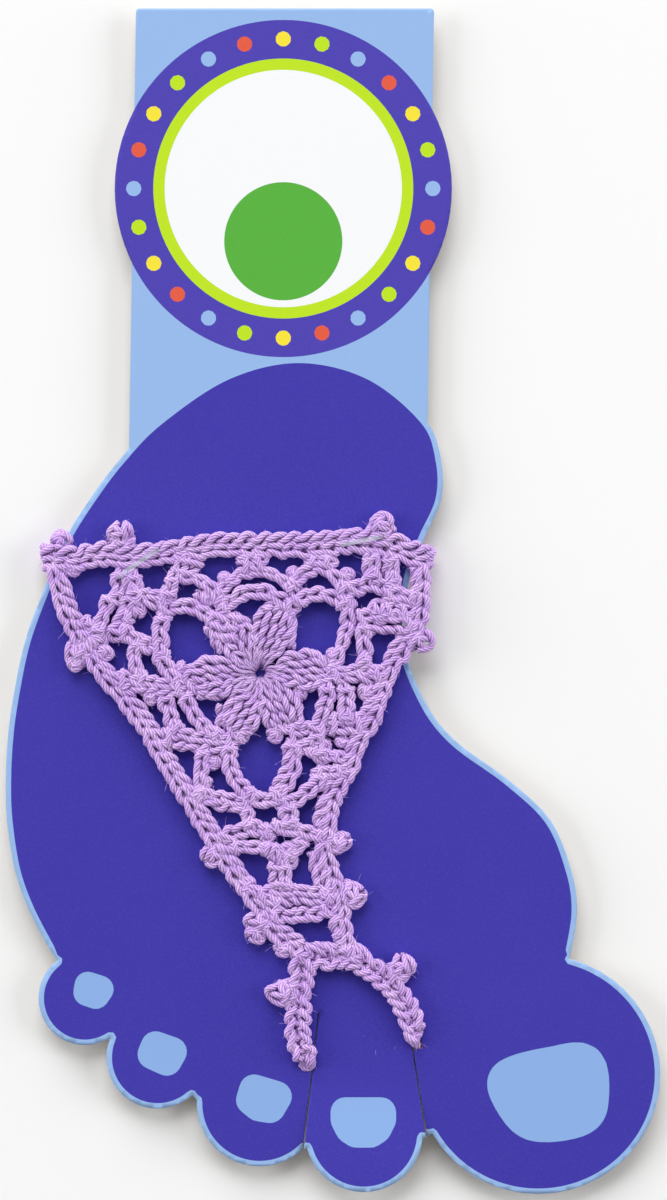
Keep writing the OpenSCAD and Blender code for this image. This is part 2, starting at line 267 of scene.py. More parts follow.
def wrap(guide, along, width, tilt):
    """One turn of yarn round a band, where another row is worked into it."""
    a = np.linspace(-0.4, 2 * math.pi + 0.2, 12)
    side = (width / 2 - WRAP_IN) * np.cos(a)
    height = WRAP_RISE * np.sin(a) + WRAP_UP
    return guide.place(along + tilt * side + WRAP_LEAD * a, side, height), WRAP_R


def braid(guide, width):
    """A worked edge: broad chain stitches with their groove, over two filling ropes."""
    return [
        *rope(guide, 2.4, offset=1.15, lift=-0.4, radius=YARN_R * CORE_R, hand=1),
        *rope(guide, 2.4, offset=-1.15, lift=-0.4, radius=YARN_R * CORE_R, hand=-1),
        chain(guide, width, pitch=PITCH * 0.95),
    ]


EDGE_CHAIN_W = 3.5
EDGE_ROPE_W = 2.5
EDGE_ROPE_IN = 1.15


def edge_rows(guide, width, side):
    """Both rows of a worked edge: chain stitches outside, a twisted row of posts inside."""
    inner = -side * (width / 2 - EDGE_ROPE_IN)
    return [
        chain(guide, EDGE_CHAIN_W, offset=side * (width - EDGE_CHAIN_W) / 2),
        *rope(guide, EDGE_ROPE_W, offset=inner, lift=-0.12, turn=5.4, hand=side),
    ]


# A knot's outer loop: its share of a turn, half length, half width and waves
LOOP_SHARE = 0.93
LOOP_LONG = 1.95
LOOP_WIDE = 1.8
LOOP_WAVE = 0.1
LOOP_SWAY = 0.25
# The turns inside it: how many, half length, spacing, radius and height
KNOT_TURNS = 4
TURN_LONG = 1.9
TURN_APART = 0.6
TURN_R = YARN_R * 0.96
TURN_TOP = 0.75
TURN_DROP = 1.5
LAST_DOWN = 0.5


def knot(x, y, z=MID_Z, size=1.0):
    """A lump of yarn: an outer loop and a few short turns that cross inside it."""
    mid = np.append(chart([x, y]), z)
    turn = rng.uniform(0, 2 * math.pi)
    t = np.linspace(0, 2 * math.pi * LOOP_SHARE, 14) + turn
    wave = 1 + LOOP_WAVE * np.sin(2 * t + any_phase())
    loop = np.column_stack([np.cos(t) * wave * LOOP_LONG, np.sin(t) * wave * LOOP_WIDE,
                            LOOP_SWAY * np.sin(3 * t)])
    strands = [(mid + loop * size, YARN_R)]
    for k in range(KNOT_TURNS):
        rows = knot_turn(turn + k * 0.8, k - (KNOT_TURNS - 1) / 2)
        if k == KNOT_TURNS - 1:
            rows -= [0, 0, LAST_DOWN]
        strands.append((mid + rows * size, TURN_R))
    return strands


def knot_turn(angle, place):
    """One short turn inside a knot, by its direction and its place beside the middle."""
    angle = angle + rng.uniform(-0.25, 0.25)
    along = np.append(heading(angle), 0)
    across = np.append(left_of(along), 0)
    side = across * place * TURN_APART
    bow = rng.uniform(-0.5, 0.5)
    return np.array([
        side * (1 - 0.3 * v * v) + along * v * TURN_LONG
        + np.array([0, 0, TURN_TOP - TURN_DROP * v * v]) + across * bow * v
        for v in (-1, -0.7, -0.3, 0.3, 0.7, 1)
    ])


# A picot: how far out its outer knot lies, and how far in and apart its two inner knots
PICOT_OUT = 0.25
PICOT_IN = 1.5
PICOT_SIDE = 0.95


def picot(x, y, degrees, z=MID_Z, size=1.0):
    """A small loop of chain stitches that stands out from an edge as a lump."""
    out = heading(math.radians(degrees))
    across = left_of(out)
    far = np.array([x, y]) + out * PICOT_OUT
    strands = knot(*far, z + 0.1, 1.15 * size)
    for way in (-1, 1):
        near = np.array([x, y]) - out * PICOT_IN + across * PICOT_SIDE * way
        strands += knot(*near, z - 0.25, 0.8 * size)
    return strands


def picots(rows, *more):
    """The strands of several picots."""
    return [strand for row in rows for strand in picot(*row, *more)]


def disorder(points):
    """A little slow unevenness, as in handwork: a sum of waves across the piece."""
    out = np.zeros_like(points)
    for way, phase, push in DISORDER:
        out += np.sin(points[:, :2] @ way + phase)[:, None] * push
    return points + out


# Directions round a strand, and its reach in each, with a bulge for each ply
ROUND = np.arange(SIDES) * 2 * math.pi / SIDES
BULGE = 1 - PLY_DEPTH + PLY_DEPTH * 2 * np.abs(np.cos(ROUND * PLIES / 2)) ** 0.8


def across_path(path):
    """Two directions across a path at each of its points, which turn as little as they can."""
    t = unit(np.gradient(path, axis=0))
    first = np.zeros((len(path), 3))
    first[0] = np.cross(t[0], [0.31, 0.52, 0.8])
    first[0] /= np.linalg.norm(first[0])
    for i in range(1, len(path)):
        v = first[i - 1] - t[i] * np.dot(first[i - 1], t[i])
        first[i] = v / np.linalg.norm(v)
    return first, np.cross(t, first)


def plied_rings(path, radius):
    """Rings of points round a path that follow its twisted plies."""
    first, second = across_path(path)
    share = np.linspace(0, 1, len(path))
    r = np.interp(share, np.linspace(0, 1, np.size(radius)), np.atleast_1d(radius))
    turn = np.arange(len(path)) * RING_STEP * 2 * math.pi / PLY_TURN + any_phase()
    a = ROUND[None, :] + turn[:, None]
    reach = r[:, None] * BULGE[None, :]
    return (path[:, None, :] + (np.cos(a) * reach)[:, :, None] * first[:, None, :]
            + (np.sin(a) * reach)[:, :, None] * second[:, None, :])


def ring_faces(count, base):
    """Quads from ring to ring, whose points are counted from base, and a cap at each end."""
    here = np.arange(SIDES)
    there = (here + 1) % SIDES
    i = np.arange(count - 1)[:, None] * SIDES + base
    quads = np.stack([i + here, i + there, i + SIDES + there, i + SIDES + here], axis=-1)
    caps = [here[::-1] + base, here + base + (count - 1) * SIDES]
    return quads.reshape(-1, 4).tolist() + [cap.tolist() for cap in caps]


def ring_uvs(count):
    """A map place for each corner of ring_faces: across the plies, and along in turns."""
    u, v = np.meshgrid(np.arange(SIDES) / SIDES, np.arange(count) * RING_STEP / PLY_TURN)
    u0, v0, v1 = u[1:], v[:-1], v[1:]
    u1 = u0 + 1 / SIDES
    corners = [np.stack(pair, -1) for pair in ((u0, v0), (u1, v0), (u1, v1), (u0, v1))]
    return np.concatenate([np.stack(corners, axis=2).reshape(-1, 2), np.zeros((2 * SIDES, 2))])


def openness(points, middles):
    """How free each point is: 0 inside another strand of yarn, 1 well away from all of them. The
    yarn's material paints shade between strands from it.
    """
    tree = kdtree.KDTree(len(middles))
    for i, middle in enumerate(middles):
        tree.insert(middle, i)
    tree.balance()
    gap = np.array([tree.find(point)[2] for point in points])
    return np.clip((gap - YARN_R) / (NEAR * FREE), 0, 1)


def sweep(strands):
    """One mesh of plied yarn along all the strands, each a line of points and a radius."""
    verts, faces, uvs, around_it, middles = [], [], [], [], []
    base = 0
    for points, radius in strands:
        path = resample(disorder(catmull(points)), RING_STEP)
        rings = plied_rings(path, radius)
        outward = unit(rings - path[:, None, :]) * (YARN_R + NEAR)
        verts.append(rings.reshape(-1, 3))
        around_it.append((path[:, None, :] + outward).reshape(-1, 3))
        middles.append(path)
        faces += ring_faces(len(path), base)
        uvs.append(ring_uvs(len(path)))
        base += len(path) * SIDES
    # Painted shade between strands: how crowded each point is by the middles of other strands
    painted_shade_room = openness(np.concatenate(around_it), np.concatenate(middles))
    return np.concatenate(verts), faces, np.concatenate(uvs), painted_shade_room


def add_object(name, data):
    """A new object in the scene."""
    obj = bpy.data.objects.new(name, data)
    bpy.context.collection.objects.link(obj)
    return obj


def add_values(mesh, name, values):
    """Keep a number at each of the mesh's points, for its material to read."""
    layer = mesh.attributes.new(name, "FLOAT", "POINT")
    layer.data.foreach_set("value", values.astype(np.float32))


def yarn_piece(name, strands, *nodes):
    """A crocheted piece that stands for the CAD nodes."""
    verts, faces, uvs, painted_shade_room = sweep(strands)
    mesh = bpy.data.meshes.new(name)
    mesh.from_pydata((verts * MM).tolist(), [], faces)
    layer = mesh.uv_layers.new(name="Plies")
    layer.data.foreach_set("uv", uvs.astype(np.float32).ravel())
    mesh.polygons.foreach_set("use_smooth", [True] * len(mesh.polygons))
    # The number from which the yarn's material paints shade between strands
    add_values(mesh, "painted_shade_room", painted_shade_room)
    mesh.materials.append(yarn_material())
    mesh.update()
    obj = add_object(name, mesh)
    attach(obj, "root")
    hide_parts(*nodes)


class Nodes:
    """Short way to write the nodes of a material, or of a world."""

    def __init__(self, name, kind=bpy.data.materials):
        self.mat = kind.new(name)
        self.mat.use_nodes = True
        self.tree = self.mat.node_tree

    def feed(self, node, sockets):
        """Give a node's sockets a number each, or what another node gives."""
        for key, value in sockets.items():
            if isinstance(value, bpy.types.NodeSocket):
                self.tree.links.new(value, node.inputs[key])
            else:
                node.inputs[key].default_value = value

    def surface(self, shader="Principled BSDF", **sockets):
        """Feed the shader's own sockets, named with _ for each space."""
        named = {key.replace("_", " "): value for key, value in sockets.items()}
        self.feed(self.tree.nodes[shader], named)

    def new(self, kind, **sockets):
        node = self.tree.nodes.new("ShaderNode" + kind)
        self.feed(node, sockets)
        return node

    def attribute(self, name):
        node = self.new("Attribute")
        node.attribute_name = name
        return node.outputs["Fac"]

    def math(self, operation, a, b):
        node = self.new("Math")
        node.operation = operation
        self.feed(node, {0: a, 1: b})
        return node.outputs[0]

    def ramp(self, value, low, high, to_low=0.0, to_high=1.0):
        node = self.new("MapRange")
        node.interpolation_type = "SMOOTHSTEP"
        self.feed(node, dict(enumerate((value, low, high, to_low, to_high))))
        return node.outputs[0]

    def mix(self, fac, a, b):
        node = self.new("Mix")
        node.data_type = "RGBA"
        self.feed(node, {0: fac, 6: a, 7: b})
        return node.outputs[2]

    def noise(self, vector, scale, detail=2.0, rough=0.5):
        node = self.new("TexNoise", Vector=vector, Scale=scale, Detail=detail, Roughness=rough)
        return node.outputs["Fac"]

    def bump(self, height, distance, strength, **under):
        node = self.new("Bump", Height=height, Distance=distance, Strength=strength, **under)
        return node.outputs["Normal"]

    def coords(self, kind="Object"):
        return self.new("TexCoord").outputs[kind]


def rgb(*colour):
    """A colour as a screen shows it, 0 to 255, to the linear values of a shader."""
    def linear(c):
        c /= 255
        return c / 12.92 if c <= 0.04045 else ((c + 0.055) / 1.055) ** 2.4
    return (*map(linear, colour), 1.0)


LILAC = rgb(212, 164, 247)
LILAC_PALE = rgb(233, 193, 255)
FIBRE_PALE = rgb(240, 213, 255)
# Painted shade colour for the grooves between the plies
PLIES_PAINTED_SHADE = rgb(134, 86, 170)
# Painted shade colour for the gaps where strands crowd each other
STRANDS_PAINTED_SHADE = rgb(84, 42, 130)
YARN_SHEEN = rgb(240, 215, 250)
HAIR_DARK = rgb(190, 150, 216)
HAIR_PALE = rgb(226, 192, 244)
# How strongly both painted shade colours show in the grooves
PLIES_SHADE_STRENGTH = 0.7
STRANDS_SHADE_STRENGTH = 0.74
# How fine the fibre streaks are across and along a strand
STREAKS = (34.0, 6.0, 1.0)


def yarn_material():
    """Lilac acrylic yarn: plied, a little fuzzy, with shade painted into the grooves between the
    plies and where strands crowd each other.
    """
    if "lilac_yarn" in bpy.data.materials:
        return bpy.data.materials["lilac_yarn"]
    m = Nodes("lilac_yarn")
    uv = m.new("UVMap")
    uv.uv_map = "Plies"
    ply = m.math("MULTIPLY", m.new("SeparateXYZ", Vector=uv.outputs[0]).outputs["X"], PLIES)
    groove = m.ramp(m.math("PINGPONG", ply, 0.5), 0.1, 0.5)
    streaks = m.new("Mapping", Vector=uv.outputs[0], Scale=STREAKS).outputs[0]
    fibres = m.noise(streaks, 1.0, 3.0, 0.6)
    patch = m.noise(m.coords(), 260.0)
    tone = m.mix(m.ramp(patch, 0.3, 0.7), LILAC, LILAC_PALE)
    tone = m.mix(m.ramp(fibres, 0.35, 0.75), tone, FIBRE_PALE)
    # Painted shade in the grooves between the plies, over the bump of the same grooves
    colour = m.mix(m.math("MULTIPLY", groove, PLIES_SHADE_STRENGTH), tone, PLIES_PAINTED_SHADE)
    # Painted shade between strands, where other strands crowd this one
    deep = m.mix(STRANDS_SHADE_STRENGTH, colour, STRANDS_PAINTED_SHADE)
    colour = m.mix(m.ramp(m.attribute("painted_shade_room"), 0.0, 0.8), deep, colour)
    plied = m.bump(m.math("SUBTRACT", 1.0, groove), 0.00012, 0.8)
    m.surface(Base_Color=colour, Roughness=0.85, Specular_IOR_Level=0.25, Sheen_Weight=0.35,
              Sheen_Roughness=0.45, Sheen_Tint=YARN_SHEEN,
              Normal=m.bump(fibres, 0.00006, 0.6, Normal=plied))
    return m.mat


# The print. Sizes in millimetres.
BORDER = 1.2
LIME_R = 28.6
WHITE_R = 26.1
GREEN_R = 13.0
GREEN_DOWN = 11.6
DOT_R = 1.7
DOT_RING_R = 32.9
DOT_COUNT = 24
# Softness of the line between two printed colours
BLUR = 0.04
# How far the header's lean takes the badge to the left
BADGE_LEAN = HEADER_H * 0.005
BADGE = np.array([FOOT_LEFT + HEADER_X + HEADER_W / 2 - BADGE_LEAN,
                  card_high.y - BADGE_INSET - BADGE_D / 2])

PALE_BLUE = rgb(150, 184, 232)
NAIL_BLUE = rgb(140, 176, 230)
FIELD_BLUES = (rgb(62, 54, 166), rgb(67, 59, 172))
BADGE_BLUE = rgb(78, 66, 176)
LIME = rgb(190, 226, 34)
LEAF = rgb(88, 176, 62)
BADGE_WHITE = rgb(244, 245, 247)
WHITE = rgb(255, 255, 255)
DOT_COLOURS = [rgb(245, 225, 60), LIME, PALE_BLUE, rgb(226, 92, 66)]


def print_material():
    """Coated board printed in flat colours. What lies where is read from the mesh."""
    m = Nodes("printed_board")
    radius = m.attribute("badge_r")

    def disc(distance, size, colour, paint):
        return m.mix(m.ramp(distance, size + BLUR, size - BLUR), colour, paint)

    field = m.mix(m.noise(m.coords(), 30.0), *FIELD_BLUES)
    in_foot = m.ramp(m.attribute("foot_in"), BORDER - BLUR, BORDER + BLUR)
    colour = m.mix(in_foot, PALE_BLUE, field)
    colour = m.mix(m.ramp(m.attribute("nail_in"), -BLUR, BLUR), colour, NAIL_BLUE)
    colour = disc(radius, BADGE_D / 2, colour, BADGE_BLUE)
    kind = m.attribute("dot_kind")
    dots = DOT_COLOURS[0]
    for k, paint in enumerate(DOT_COLOURS[1:]):
        dots = m.mix(m.math("GREATER_THAN", kind, k + 0.5), dots, paint)
    colour = disc(m.attribute("dot_r"), DOT_R, colour, dots)
    colour = disc(radius, LIME_R, colour, LIME)
    colour = disc(radius, WHITE_R, colour, BADGE_WHITE)
    colour = disc(m.attribute("green_r"), GREEN_R, colour, LEAF)
    grain = m.noise(m.coords(), 2600.0)
    colour = m.mix(m.ramp(grain, 0.35, 0.75, 0.0, 0.012), colour, WHITE)
    m.surface(Base_Color=colour, Roughness=0.62, Specular_IOR_Level=0.1,
              Normal=m.bump(grain, 0.00001, 0.35))
    return m.mat


def board_material(name, colour, scale):
    """Bare board: its cut edge and its back."""
    m = Nodes(name)
    grain = m.noise(m.coords(), scale, 4.0, 0.65)
    shade = tuple(c * 0.8 for c in colour[:3]) + (1.0,)
    m.surface(Base_Color=m.mix(grain, shade, colour), Roughness=0.8,
              Normal=m.bump(grain, 0.00004, 0.5))
    return m.mat


# The foot's outline, as in the part's source. Columns: share of its length from the heel, then
# its left and right side as shares of its width
FOOT_ROWS = [
    (0.02, 0.338, 0.556), (0.074, 0.234, 0.641), (0.122, 0.174, 0.665), (0.17, 0.128, 0.665),
    (0.218, 0.09, 0.638), (0.266, 0.064, 0.616), (0.338, 0.03, 0.607), (0.409, 0.011, 0.639),
    (0.457, 0.003, 0.685), (0.505, 0, 0.768), (0.553, 0.002, 0.832), (0.613, 0.014, 0.864),
    (0.661, 0.036, 0.873), (0.709, 0.068, 0.864),
]
HEEL_X = 0.448
# Columns, as shares: middle across and down, half width and half height, and the notch
# towards the next toe across and down
TOES = [
    (0.121, 0.766, 0.071, 0.056, 0.161, 0.813), (0.232, 0.837, 0.078, 0.061, 0.295, 0.89),
    (0.388, 0.892, 0.096, 0.075, 0.456, 0.944), (0.547, 0.925, 0.09, 0.071, 0.642, 0.932),
    (0.8135, 0.857, 0.1865, 0.143, 0.864, 0.709),
]
# Toenails, as a round pen would draw them. Columns: corners in squares of the chart, the pen's
# radius, and the steps along a side: 1 keeps it straight
NAILS = [
    ([(-38.2, -68.9), (-35.4, -69.8), (-36.4, -71.3), (-38.5, -70.6)], 2.9, 1),
    ([(-23.3, -82.3), (-19.6, -83.6), (-20.8, -85.7), (-24.1, -84.2)], 3.2, 1),
    ([(-1.6, -91.9), (3.4, -93.4), (1.9, -96), (-0.6, -95.6), (-2.3, -94.2)], 3.3, 1),
    ([(18.4, -96.8), (26.4, -96.8), (26.4, -98.4), (25.4, -100.4), (24, -101.3), (20.8, -101.3),
      (19.4, -100.4), (18.4, -98.4)], 3.2, 1),
    ([(54.3, -91.2), (56.4, -88.9), (64, -87.1), (70.9, -86.6), (71.8, -94), (70, -97.5),
      (63, -98.9), (58.2, -97.6)], 4.6, 5),
]
# Spacing of the points along an outline that distances are measured to
FOOT_STEP = 0.3
NAIL_STEP = 0.15
# Points that are measured at a time
BLOCK = 2000


def foot_sides():
    """The foot's outline without its toes, from the right side round the heel."""
    right = [foot_at(r[2], r[0]) for r in FOOT_ROWS]
    left = [foot_at(r[1], r[0]) for r in FOOT_ROWS]
    return catmull(right[::-1] + [foot_at(HEEL_X, 0)] + left, 24)


def inside_polygon(points, poly):
    """Which points lie inside a polygon."""
    x, y = points[:, 0], points[:, 1]
    hit = np.zeros(len(points), bool)
    for (x0, y0), (x1, y1) in zip(poly, np.roll(poly, -1, axis=0)):
        if y0 == y1:
            continue
        cross = (y0 > y) != (y1 > y)
        hit ^= cross & (x < (x1 - x0) * (y - y0) / (y1 - y0) + x0)
    return hit


def to_nearest(points, targets):
    """How far each point is from the nearest target."""
    out = np.empty(len(points))
    for k in range(0, len(points), BLOCK):
        block = points[k:k + BLOCK, None, :] - targets[None, :, :]
        out[k:k + BLOCK] = np.sqrt((block**2).sum(-1)).min(1)
    return out


def in_oval(points, mid, radii):
    """Below 1 inside an oval and above 1 outside it."""
    return (((points - mid) / radii) ** 2).sum(1)


def foot_depth(points):
    """How deep each point lies inside the foot's outline, below 0 outside."""
    sides = foot_sides()
    weave = [foot_at(*pair) for t in TOES for pair in (t[:2], t[4:])][:-1]
    body = np.concatenate([sides, weave])
    ovals = [(foot_at(x, y), np.array([rx * FOOT_W, ry * FOOT_L])) for x, y, rx, ry, _, _ in TOES]
    a = np.linspace(0, 2 * math.pi, 400, endpoint=False)
    rims, inside = [], inside_polygon(points, body)
    for i, (mid, radii) in enumerate(ovals):
        inside |= in_oval(points, mid, radii) < 1
        rim = mid + np.column_stack([np.cos(a), np.sin(a)]) * radii
        keep = ~inside_polygon(rim, body)
        for other in ovals[:i] + ovals[i + 1:]:
            keep &= in_oval(rim, *other) > 1
        rims.append(rim[keep])
    d = to_nearest(points, np.concatenate([resample(sides, FOOT_STEP)] + rims))
    return np.where(inside, d, -d)


def polygon_depth(points, poly):
    """How deep each point lies inside a polygon, below 0 outside."""
    line = resample(np.concatenate([poly, poly[:1]]), NAIL_STEP)
    d = to_nearest(points, line)
    return np.where(inside_polygon(points, poly), d, -d)


def print_values(places):
    """What the print's material reads at each place: depths in shapes and distances."""
    turn = np.arange(DOT_COUNT) * 2 * math.pi / DOT_COUNT
    dots = BADGE + DOT_RING_R * np.column_stack([np.sin(turn), np.cos(turn)])
    gap = np.linalg.norm(places[:, None] - dots[None], axis=2)
    nails = [polygon_depth(places, catmull(chart(corners), steps, True)) + pen
             for corners, pen, steps in NAILS]
    return {
        "foot_in": foot_depth(places),
        "nail_in": np.max(nails, axis=0),
        "badge_r": np.linalg.norm(places - BADGE, axis=1),
        "green_r": np.linalg.norm(places - BADGE + [0, GREEN_DOWN], axis=1),
        "dot_r": gap.min(1),
        "dot_kind": (gap.argmin(1) % len(DOT_COLOURS)).astype(float),
    }


# The board's front: spacing of its points and of their rows, and their distance from its rim
FRONT_STEP = 1.1 * MM
FRONT_ROWS = FRONT_STEP * 0.87
FRONT_CLEAR = FRONT_STEP * 0.45
# A face that points up by more than this belongs to the front
UPWARDS = 0.5
WELD = 1e-6


def board_rim(bm):
    """The corners of the front's outline, slits and holes, and the lines between them."""
    up = {f for f in bm.faces if f.normal.z > UPWARDS}
    rim = [e for e in bm.edges if sum(f in up for f in e.link_faces) == 1]
    used = sorted({v.index for e in rim for v in e.verts})
    renumber = {v: i for i, v in enumerate(used)}
    bm.verts.ensure_lookup_table()
    corners = np.array([bm.verts[i].co[:] for i in used])
    return corners, [tuple(renumber[v.index] for v in e.verts) for e in rim]


def grid_within(corners):
    """Evenly spread places between the rim's corners, clear of them."""
    low, high = corners.min(0), corners.max(0)
    xs = np.arange(low[0], high[0], FRONT_STEP)
    ys = np.arange(low[1], high[1], FRONT_ROWS)
    grid = [(x + (k % 2) * FRONT_STEP / 2, y) for k, y in enumerate(ys) for x in xs]
    near = to_nearest(np.array(grid), corners[:, :2])
    return [place for place, d in zip(grid, near) if d > FRONT_CLEAR]


def board_front(source):
    """The points and triangles of a fine mesh over the CAD card's front."""
    bm = bmesh.new()
    bm.from_mesh(source.data)
    bmesh.ops.remove_doubles(bm, verts=bm.verts, dist=WELD)
    bm.verts.index_update()
    tree = BVHTree.FromBMesh(bm)
    corners, edges = board_rim(bm)

    def drop(x, y):
        hit, normal, _, _ = tree.ray_cast(Vector((x, y, 1)), Vector((0, 0, -1)))
        return hit.z if hit is not None and normal.z > UPWARDS else None

    inner = [(x, y, z) for x, y in grid_within(corners) if (z := drop(x, y)) is not None]
    every = np.concatenate([corners, np.array(inner)])
    flat = [Vector((p[0], p[1])) for p in every]
    places, _, tris, origins, _, _ = geometry.delaunay_2d_cdt(flat, edges, [], 1, 1e-7)
    points = []
    for place, origin in zip(places, origins):
        z = every[origin[0]][2] if origin else drop(*place) or BOARD_TOP * MM
        points.append(Vector((place.x, place.y, z)))
    kept = []
    for tri in tris:
        mid = sum((places[i] for i in tri), Vector((0, 0))) / 3
        if drop(mid.x, mid.y) is not None:
            kept.append(tuple(tri))
    bm.free()
    return points, kept


def build_card():
    """The card's own mesh: a fine front that carries the print, a back and a cut edge."""
    front, tris = board_front(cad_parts["card"])
    n = len(front)
    points = [tuple(v) for v in front] + [(v.x, v.y, v.z - BOARD_T * MM) for v in front]
    sides = dict.fromkeys(e for a, b, c in tris for e in ((a, b), (b, c), (c, a)))
    wall = [(a, b) for a, b in sides if (b, a) not in sides]
    faces = tris + [(c + n, b + n, a + n) for a, b, c in tris]
    faces += [(b, a, a + n, b + n) for a, b in wall]
    mesh = bpy.data.meshes.new("display_card")
    mesh.from_pydata(points, [], faces)
    mesh.materials.append(print_material())
    mesh.materials.append(board_material("cut_edge", rgb(214, 200, 176), 3000.0))
    mesh.materials.append(board_material("board_back", rgb(196, 186, 170), 900.0))
    kinds = [0] * len(tris) + [2] * len(tris) + [1] * len(wall)
    mesh.polygons.foreach_set("material_index", kinds)
    mesh.polygons.foreach_set("use_smooth", [k != 1 for k in kinds])
    for name, values in print_values(np.array(points)[:, :2] / MM).items():
        add_values(mesh, name, values)
    mesh.update()
    obj = add_object("display_card", mesh)
    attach(obj, "root")
    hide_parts("card")


# The crochet chart, in squares of a millimetre from the flower's eye, as in the part's source
# but moved by up to about a millimetre where the strands need it
RAIL = [(-35, 25.9), (-28, 25.4), (-18, 26.6), (-9, 27.9), (0, 27.9), (12, 28), (21, 28.8),
        (28, 28.1)]
# Where the strap dips between its left end and its first picot
RAIL_DIP = [(-40.2, 24.8)]
LEFT_EDGE = [
    (-45.2, 23.2), (-44.6, 21), (-43.3, 15), (-40.1, 8.6), (-34.7, 0.1), (-29.8, -5.9),
    (-24.2, -13.4), (-20.2, -20.4), (-14.4, -30), (-9.4, -38), (-4.6, -45.5), (-0.4, -51),
    (3, -56.5), (8.4, -60.4),
]
RIGHT_EDGE = [
    (34.9, 23), (34.7, 16), (34, 10), (30.4, 5), (26.9, -2.5), (24.4, -9), (21.3, -15.5),
    (19.3, -21), (15.7, -26.5), (14.4, -33.5), (13.7, -39.2), (15.5, -45), (17.3, -52), (18.2, -60),
]
EDGE_W = 4.8
# Columns: direction in degrees, reach from the eye
PETALS = [(75, 16.6), (126, 15.8), (186, 17.6), (246, 16), (296.5, 15.4), (2, 16.4)]
PETAL_R = 4.3
# Middle and radius of the open eye
HOLE = np.array([-0.3, -0.15])
HOLE_R = 1.45
# Ends of the turns of yarn across the upper left petal
FLOWER_WRAPS = [[(-11, 12), (-4, 11.4)], [(-10.6, 9.9), (-3.8, 9.4)], [(-10.2, 7.9), (-4.6, 7.5)]]
# Columns: start x and y, end x and y, rise of the arch as a share of its span, width in strands
NET = [
    (-30.8, 22.5, -31.9, 16, 0.03, 2.3), (-32.2, 16.5, -35.8, 8.5, -0.08, 2.3),
    (-27.9, 22, -28, 16.5, -0.02, 2.6), (-28, 17, -32, 8, -0.04, 2.5),
    (-28, 16.3, -20.5, 15.6, 0, 3.1), (-20.6, 15.5, -19.2, 21, 0.04, 1.9),
    (-18, 21, -15, 24.6, 0, 3.6), (-19, 20.8, -9, 15.2, 0.18, 2),
    (-22.5, 13, -10.5, 11, 0.2, 2.4), (-21.5, 13, -21.8, 3, -0.05, 2.5),
    (-21.8, 4, -18.2, -2, -0.1, 2.4), (-31, 10, -22, 5.8, -0.13, 2.5),
    (-27.2, 7, -25.8, -2, -0.13, 2.1), (-32, -1.4, -17.5, -3.6, -0.03, 3.1),
    (-21, -4.5, -18.2, -13, -0.08, 2.5), (-16.7, -4.5, -9.5, -14, -0.13, 2.2),
    (-21.5, -14, -6.5, -15.8, -0.02, 3.4), (-12.4, -16.5, -13.4, -27.5, -0.02, 2.5),
    (-6.6, -15.5, -2, -27.5, -0.16, 2.5), (-3, -27.4, 4, -27.4, -0.1, 2.4),
    (7, -15, 3.2, -27.3, 0.1, 2.9), (14, -22.3, 4.5, -28.9, 0.1, 2.3),
    (-14.5, -26.6, -2.8, -29, -0.05, 2.9), (-3.6, -29, -2.4, -34.5, 0, 2.1),
    (5.6, -28.5, 6.2, -34, 0, 2.8), (-8.5, -36.8, 1.8, -35, 0.12, 2.3),
    (-7, -38.2, 2.2, -39, 0.03, 2.2), (1.2, -33.8, 0.8, -39, 0, 1.9),
    (2.4, -34.3, 13, -36, 0.05, 2.1), (9.2, -36.4, 3.2, -40.8, 0.1, 3),
    (1.6, -38.6, 6.2, -41.6, 0, 2.8), (3.9, -41.5, 4.3, -47.5, 0, 3.4),
    (-1, -49.2, 15.5, -49.4, 0.02, 3.2), (1.8, -53.3, 15, -51.9, -0.06, 2.8),
    (-9.8, 16.4, 7.3, 17.6, 0.31, 1.9), (-9.3, 13.4, 7, 14, 0.24, 2.3),
    (-4.6, 23.6, 0.4, 23.9, 0, 3.1), (6.5, 18.4, 18.3, 17.4, 0.42, 2.2),
    (9.8, 24.6, 15.3, 24.4, 0, 2.1), (7, 15.2, 18.5, 14.4, 0.2, 2.3),
    (18.6, 17, 15.2, 0.5, 0.1, 2.1), (24.2, 26.4, 24.2, 20, 0, 2.9),
    (28.4, 26, 28.4, 19, 0, 2.9), (18.8, 17.4, 29, 17.5, 0.18, 2.5),
    (26.6, 16.6, 33.6, 16, 0.06, 2.6), (21, 10.9, 33, 10.6, 0.02, 3.9),
    (26.5, 13.6, 32, 13.4, 0, 2.6), (22.1, 11, 22.5, 1.5, 0.03, 2.6),
    (15.4, -1.1, 26.4, -0.6, 0.03, 3), (14.2, -2.4, 11.6, -13, 0.08, 2.4),
    (18, -2.6, 18.6, -11, 0.03, 2.5), (14.8, -11.8, 22.2, -11.4, 0.03, 3.6),
    (5.6, -14, 14, -13.4, 0, 3.6), (6.6, -16.6, 14, -16.4, 0, 2.5),
    (11.6, -13, 13.2, -18.6, 0, 2.3), (9.8, -17.4, 17.6, -18.6, -0.02, 1.4),
    (11.6, -22, 18, -21.9, 0, 2.5),
]
# Width of a strand in a band of the net, and how much wider a band is worked
YARN_W = 1.45
WORKED = 0.2
# Bands of this many strands or more get a rope beside their chain stitches
BROAD = 2.9
BROAD_CHAIN_W = 3.1
BROAD_ROPE_W = 2.5
LEAST_CHAIN_W = 2.9
